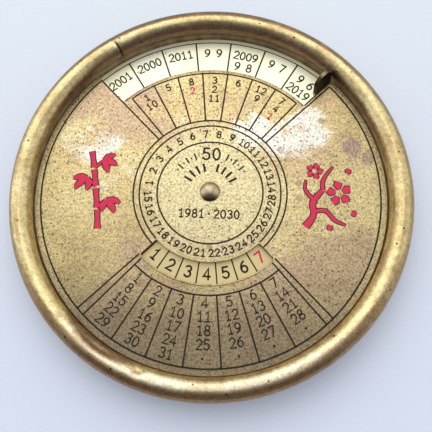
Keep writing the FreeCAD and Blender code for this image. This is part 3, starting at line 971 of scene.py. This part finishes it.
class Brush(Ribbons):
    """Brush strokes about a place on the face, each wider by an edge."""

    def __init__(self, place, edge, proud, dome=0.0):
        super().__init__(FACE_TOP, proud, INLAY_DEEP, dome)
        self.place = Vector(place)
        self.edge = edge

    def draw(self, places, widths, steps=BRUSH_STEPS):
        """A smooth stroke through a few places, with a width at each."""
        path = []
        sizes = []
        for index in range(len(places) - 1):
            before = Vector(places[max(0, index - 1)])
            start = Vector(places[index])
            end = Vector(places[index + 1])
            after = Vector(places[min(len(places) - 1, index + 2)])
            for step in range(steps):
                t = step / steps
                bend = (start * 2 + (end - before) * t + (before * 2 - start * 5 + end * 4 - after) * t * t
                        + (start * 3 - before - end * 3 + after) * t * t * t) * 0.5
                path.append(self.place + bend)
                sizes.append(self.edge + widths[index] + (widths[index + 1] - widths[index]) * t)
        path.append(self.place + Vector(places[-1]))
        sizes.append(self.edge + widths[-1])
        self.strip(path, sizes)

    def leaf(self, start, direction, length, sag):
        """One slender leaf from its stalk to its tip. sag bends it to its left."""
        base = Vector(start)
        along = polar(length, direction).xy
        side = Vector((-along.y, along.x)) * sag
        places = [base, base + along * 0.35 + side * 0.7, base + along * 0.7 + side * 0.8, base + along]
        self.draw(places, [0.3, LEAF_WIDTH, LEAF_WIDTH * 0.8, LEAF_TIP - self.edge / 2])

    def bamboo(self):
        """A jointed stem with three groups of hanging leaves, in the space of about 9 by 18."""
        joints = ((1.5, -9.2), (1.0, -4.6), (0.2, 0.2), (-0.5, 4.4), (-1.4, 8.6))
        gap = Vector((-0.03, 0.22))
        for low, high in zip(joints, joints[1:]):
            start = Vector(low) + gap
            end = Vector(high) - gap
            self.draw([start, (start + end) / 2, end], [1.25, 0.8, 1.15])
        for low, high in (((0.9, -4.5), (2.6, -2.6)), ((0.2, 0.3), (-1.7, 2.3)), ((-0.5, 4.5), (1.2, 6.2))):
            self.draw([low, high], [0.5, 0.38], 3)
        sprays = (((2.6, -2.6), ((-12.0, 3.4, 0.1), (-55.0, 3.6, 0.12), (-100.0, 2.7, -0.1))),
                  ((-1.7, 2.3), ((-172.0, 3.3, -0.1), (-132.0, 3.9, -0.12), (-92.0, 3.0, 0.12))),
                  ((1.2, 6.2), ((28.0, 3.2, 0.1), (-18.0, 3.5, 0.12), (-66.0, 3.0, 0.1))))
        for start, leaves in sprays:
            for direction, length, sag in leaves:
                self.leaf(start, direction, length, sag)

    def blossom(self, centre, size, turn):
        """Five separate petals round a small open middle."""
        for petal in range(PETALS):
            aim = turn + FULL_TURN * petal / PETALS
            places = [Vector(centre) + polar(size * share, aim + lean).xy
                      for share, lean in ((0.28, 0.0), (0.68, 7.0), (1.0, 0.0))]
            self.draw(places, [0.35, size * 0.62, size * 0.4], 4)

    def twig(self):
        """An angular twig with two blossoms and three buds, in the space of about 11 by 14."""
        self.draw([(-4.6, -7.0), (-2.9, -4.4), (-3.0, -1.6), (-0.9, 1.2)], [1.5, 1.0, 1.15, 0.7])
        self.draw([(-0.9, 1.2), (-0.7, 3.6), (1.4, 6.6)], [0.8, 0.6, 0.2])
        self.draw([(-2.9, -3.6), (-0.4, -3.4), (1.6, -5.4), (3.9, -6.4)], [0.8, 0.65, 0.6, 0.2])
        self.draw([(-3.0, -0.9), (-4.6, 1.2), (-4.5, 3.4)], [0.7, 0.5, 0.2])
        self.blossom((2.6, 0.6), 2.6, 20.0)
        self.blossom((-2.6, 5.4), 1.75, -10.0)
        for x, y, aim in ((4.3, 5.0, 60.0), (5.0, -3.6, -20.0), (0.6, -6.4, -100.0)):
            start = Vector((x, y))
            self.draw([start, start + polar(0.7, aim).xy, start + polar(1.3, aim).xy], [0.5, 1.15, 0.3], 3)


EDGE_EXTRA = 0.5  # by how much the painted shade of the engraved edge is wider than the red
EDGE_PROUD = 0.008
RED_PROUD = 0.02
RED_DOME = 0.05
LEFT_PLACE = (-24.9, 0.0)
RIGHT_PLACE = (25.0, 0.0)


def build_ornaments():
    for name, draw, place in (("bamboo", Brush.bamboo, LEFT_PLACE), ("twig", Brush.twig, RIGHT_PLACE)):
        # Under the red, a wider dark outline: painted shade of the engraved edge
        border_shade = Brush(place, EDGE_EXTRA, EDGE_PROUD)
        draw(border_shade)
        border_shade.piece(name + "_edge", EDGE_SHADE, "face", "red_fill")
        fill = Brush(place, 0.0, RED_PROUD, RED_DOME)
        draw(fill)
        fill.piece(name + "_red", RED_FILL, "face", "red_fill")


ROLL_WIDTH = 0.42
ROLL_DEEP = 0.1
ROLL_DOME = 0.05
DAY_ROLL_HALF = 43.6  # degrees to each side of the window's middle
YEAR_ROLL_HALF = 44.0


def build_edge_rolls():
    """The punched windows' edges, rounded over by the tool."""
    rolls = Ribbons(proud=0.0, deep=ROLL_DEEP, dome=ROLL_DOME)
    for radius, middle, half in ((DAY_WINDOW_OUTER + ROLL_WIDTH / 2, FOOT_OF_PAGE, DAY_ROLL_HALF),
                                 (YEAR_WINDOW_INNER - ROLL_WIDTH / 2, TOP_OF_PAGE, YEAR_ROLL_HALF)):
        rolls.circle(radius, middle - half, middle + half, ROLL_WIDTH)
    rolls.piece("window_edges", FACE_BRASS, "face", "face_brass", smooth=True)


# Marks on the dial

LATEST_SINGLE = 2008  # up to here the years run on round the dial, one after another
START_YEAR = 1996  # in the cell at the right that is seen at rest
LEAP = 4
# Later years that share or fill one of the seven cells seen at rest, by cell
SEEN_LATER = {2019: 0, 2009: 2, 2011: 4}
NEW_YEARS_FIRST = 2  # the cell whose later year stands in the outer row


def place_of_year(year):
    """Cells from the start year's, one a year and two for a leap year."""
    place = 0
    for passing in range(min(year, START_YEAR) + 1, max(year, START_YEAR) + 1):
        place += 2 if passing % LEAP == 0 else 1
    return place if year >= START_YEAR else -place


def years_by_cell():
    """The years of each cell. Later years go to the emptiest unseen cell of the same weekday."""
    cells = [[] for _ in range(CELLS)]
    for year in range(FIRST_YEAR, LATEST_SINGLE + 1):
        cells[place_of_year(year) % CELLS].append(year)
    for year in range(LATEST_SINGLE + 1, LAST_YEAR + 1):
        if year in SEEN_LATER:
            cells[SEEN_LATER[year]].append(year)
            continue
        alike = [cell for cell in range(WEEK, CELLS) if cell % WEEK == place_of_year(year) % WEEK]
        cells[min(alike, key=lambda cell: len(cells[cell]))].append(year)
    return cells


YEAR_ROWS = (34.05, 31.25)  # radii
CENTURY = 100
OLD_YEARS_END = 2000  # years before this are written with two figures, set wide apart


def build_years():
    numbers = Ribbons(DIAL_TOP)
    first_cell = TOP_OF_PAGE + YEAR_CELLS_TURN - CELL * (WEEK - 1) / 2
    for cell, years in enumerate(years_by_cell()):
        angle = first_cell + cell * CELL
        order = sorted(years, reverse=cell == NEW_YEARS_FIRST)
        for year, radius in zip(order, YEAR_ROWS):
            if year < OLD_YEARS_END:
                write_round(numbers, f"{year % CENTURY:02d}", radius, angle, OLD_YEAR_STYLE)
            else:
                write_round(numbers, str(year), radius, angle, NEW_YEAR_STYLE)
    numbers.piece("year_numbers", BLACK_FILL, "base", "black_fill")


DAY_RADIUS = 17.55


def build_weekdays():
    """Weekdays as plain numbers 1 to 7, four times round, with the seventh in red."""
    black = Ribbons(DIAL_TOP)
    red = Ribbons(DIAL_TOP)
    first_cell = FOOT_OF_PAGE + DAY_CELLS_TURN - CELL * (WEEK - 1) / 2
    for cell in range(CELLS):
        day = cell % WEEK + 1
        target = red if day == WEEK else black
        write_round(target, str(day), DAY_RADIUS, first_cell + cell * CELL, WEEKDAY_STYLE, False)
    black.piece("weekday_numbers", BLACK_FILL, "base", "black_fill")
    red.piece("rest_day_numbers", RED_FILL, "base", "red_fill")


YEAR_RING_LINE = 0.24
DAY_CELL_LINE = 0.3
YEAR_LINE_HIDDEN = 1.0  # how far the cells' lines run on under the face plate
DAY_LINE_HIDDEN = 0.6


def build_dial_lines():
    lines = Ribbons(DIAL_TOP)
    lines.circle(YEAR_RING_OUTER, width=YEAR_RING_LINE)
    for cell in range(CELLS):
        edge = CELL * (cell + 0.5)
        year_edge = TOP_OF_PAGE + YEAR_CELLS_TURN + edge
        lines.spoke(YEAR_WINDOW_INNER - YEAR_LINE_HIDDEN, YEAR_RING_OUTER, year_edge)
        day_edge = FOOT_OF_PAGE + DAY_CELLS_TURN + edge
        lines.spoke(NUMBER_CIRCLE - DAY_LINE_HIDDEN, DAY_WINDOW_OUTER + DAY_LINE_HIDDEN, day_edge,
                    DAY_CELL_LINE)
    lines.piece("dial_lines", BLACK_FILL, "base", "black_fill")


# Stage: camera, light and floor

FOCAL_LENGTH = 39.96
SENSOR_WIDTH = 36.0
NEAREST_SEEN = 5.0
# From the middle of the face's top, in the photograph's upright
CAMERA_PLACE = Vector((3.35, -29.67, 98.6))
CAMERA_TILT = 13.92
CAMERA_TILT_AXIS = 4.4  # direction of the axis that the camera is tilted about
PAGE_TURN = 2.2  # how far the photograph's upright is turned from the calendar's
FRAMING_SHIFT = (-0.0016, -0.0009)  # shares of the frame's width, as the photograph is framed


def build_camera():
    turn = Matrix.Rotation(math.radians(PAGE_TURN), 4, "Z")
    place = turn @ CAMERA_PLACE + Vector((0.0, 0.0, FACE_TOP))
    tilt = Matrix.Rotation(math.radians(CAMERA_TILT), 4, polar(1.0, CAMERA_TILT_AXIS))
    camera = bpy.data.objects.new("camera", bpy.data.cameras.new("camera"))
    camera.data.lens = FOCAL_LENGTH
    camera.data.sensor_width = SENSOR_WIDTH
    camera.data.clip_start = NEAREST_SEEN * MM
    camera.data.shift_x, camera.data.shift_y = FRAMING_SHIFT
    camera.matrix_world = Matrix.Translation(place * MM) @ turn @ tilt
    bpy.context.scene.collection.objects.link(camera)
    bpy.context.scene.camera = camera


def softbox(name, place, aim, width, height, power, colour):
    """A soft light, with its place and sizes in metres and its power in watts."""
    light = bpy.data.lights.new(name, "AREA")
    light.shape = "RECTANGLE"
    light.size = width
    light.size_y = height
    light.energy = power
    light.color = colour
    box = bpy.data.objects.new(name, light)
    box.location = place
    box.rotation_euler = (Vector(aim) - Vector(place)).to_track_quat("-Z", "Y").to_euler()
    bpy.context.scene.collection.objects.link(box)


MIDDLE = (0.0, 0.0, 0.0)
WINDOW_LIGHT = (1.0, 0.98, 0.95)
ROOM_LIGHT = (0.95, 0.97, 1.0)
BACKDROP = (0.78, 0.85, 0.93)
# Light from all round, by how near a direction is to high over the back of the floor
ROOM_GIVEN = ((0.5, 0.4), (0.7, 0.72), (0.85, 1.06), (1.0, 1.42))
# What metal mirrors of the room: dim on the reader's side and overhead, bright behind and at both sides
ROOM_MIRRORED = ((0.1, 0.26), (0.42, 0.27), (0.5, 0.38), (0.64, 0.76), (0.76, 1.1))
SIDE_SHARE = 0.34
HEIGHT_SHARE = 0.35


def build_light():
    softbox("window_box", place=(-0.12, 0.44, 0.51), aim=(0.0, 0.01, 0.0), width=0.8, height=0.44,
            power=1.54, colour=WINDOW_LIGHT)
    softbox("lamp_box", place=(0.0, 0.07, 0.5), aim=MIDDLE, width=0.15, height=0.24, power=0.15,
            colour=WINDOW_LIGHT)
    softbox("side_box", place=(-0.66, 0.10, 0.30), aim=MIDDLE, width=0.3, height=0.4, power=0.17,
            colour=ROOM_LIGHT)


def build_room():
    """The room as a world: what it gives to all sides, what metal mirrors of it, and a backdrop."""
    world = bpy.data.worlds.new("room")
    bpy.context.scene.world = world
    world.use_nodes = True
    room = Nodes(world.node_tree)
    rays = room.add("ShaderNodeLightPath")

    def background(place, stops):
        lit = [(position, tuple(level * part for part in ROOM_LIGHT)) for position, level in stops]
        return room.add("ShaderNodeBackground", {"Color": room.ramp(place, lit)})["Background"]

    def choose(ray, otherwise, chosen):
        return room.add("ShaderNodeMixShader", {0: rays[ray], 1: otherwise, 2: chosen})["Shader"]

    direction = room.add("ShaderNodeTexCoord")["Generated"]
    back = room.part(direction, "Y")
    height = room.math("MULTIPLY_ADD", room.part(direction, "Z"), HEIGHT_SHARE, 0.5)
    given = background(room.math("MULTIPLY_ADD", back, HEIGHT_SHARE, height), ROOM_GIVEN)
    sideways = room.times(room.math("ABSOLUTE", room.part(direction, "X")), SIDE_SHARE)
    around = room.math("MULTIPLY_ADD", back, 0.5, room.plus(sideways, 0.5))
    lit = choose("Is Glossy Ray", given, background(around, ROOM_MIRRORED))
    backdrop = room.tree.nodes["Background"]
    backdrop.inputs["Color"].default_value = (*BACKDROP, 1.0)
    seen = choose("Is Camera Ray", lit, backdrop.outputs["Background"])
    room.link(seen, room.tree.nodes["World Output"].inputs["Surface"])


FLOOR_HALF = 6.0  # metres
FLOOR_DROP = 0.02  # keeps the floor and the felt's underside apart
# Painted light on the floor: a little darker towards the near side, lighter towards the back
FLOOR_NEAR_SHADED = (0.658, 0.70, 0.83)
FLOOR_FAR_LIT = (0.692, 0.742, 0.803)


def build_floor():
    level = -FLOOR_DROP * MM
    corners = [(x * FLOOR_HALF, y * FLOOR_HALF, level) for x, y in ((-1, -1), (1, -1), (1, 1), (-1, 1))]
    mesh = bpy.data.meshes.new("floor")
    mesh.from_pydata(corners, [], [(0, 1, 2, 3)])
    floor = bpy.data.objects.new("floor", mesh)
    bpy.context.scene.collection.objects.link(floor)
    paint = Paint("floor_pale", 0.9, 0.0)
    # Painted shade: the floor darkens towards the near side
    back = paint.math("MULTIPLY_ADD", paint.axis("Y"), 5.0, 0.5)
    paint.colour(paint.ramp(back, ((0.2, FLOOR_NEAR_SHADED), (0.8, FLOOR_FAR_LIT))))
    mesh.materials.append(paint.material)


build_camera()
build_light()
build_room()
build_floor()
coat_nodes()
build_rim()
build_solder()
build_felt()
build_edge_rolls()
build_face_lines()
build_dates()
build_months()
build_ring_numbers()
build_centre()
build_ornaments()
build_dial_lines()
build_years()
build_weekdays()

bpy.context.scene.view_settings.view_transform = "Standard"
